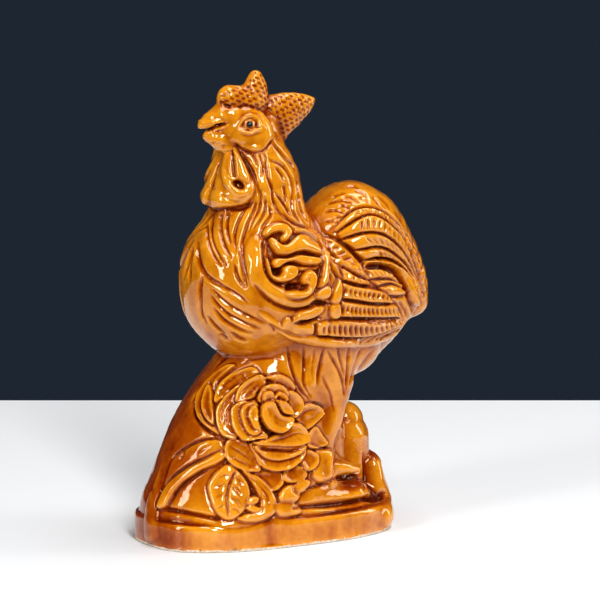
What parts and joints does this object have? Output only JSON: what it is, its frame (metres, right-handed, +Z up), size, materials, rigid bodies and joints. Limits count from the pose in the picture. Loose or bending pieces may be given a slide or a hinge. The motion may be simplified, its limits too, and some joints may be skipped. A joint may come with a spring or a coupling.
{
  "type": "rooster figurine",
  "caption": "Glazed earthenware rooster standing on a rock carved with a peony, cast in one piece on a low oval plinth, for a shelf or desk.",
  "frame": {"origin": "middle of the figure's box on the underside of the plinth", "axes": "+Z up, beak toward -X, tail toward +X, the display flank toward -Y"},
  "size_m": [0.1084, 0.055, 0.1601],
  "materials": {
    "amber_glaze": "glossy translucent amber glaze over white clay, darker where it pools"
  },
  "bodies": {
    "root": {"rooster_figure": "amber_glaze"}
  },
  "joints": []
}
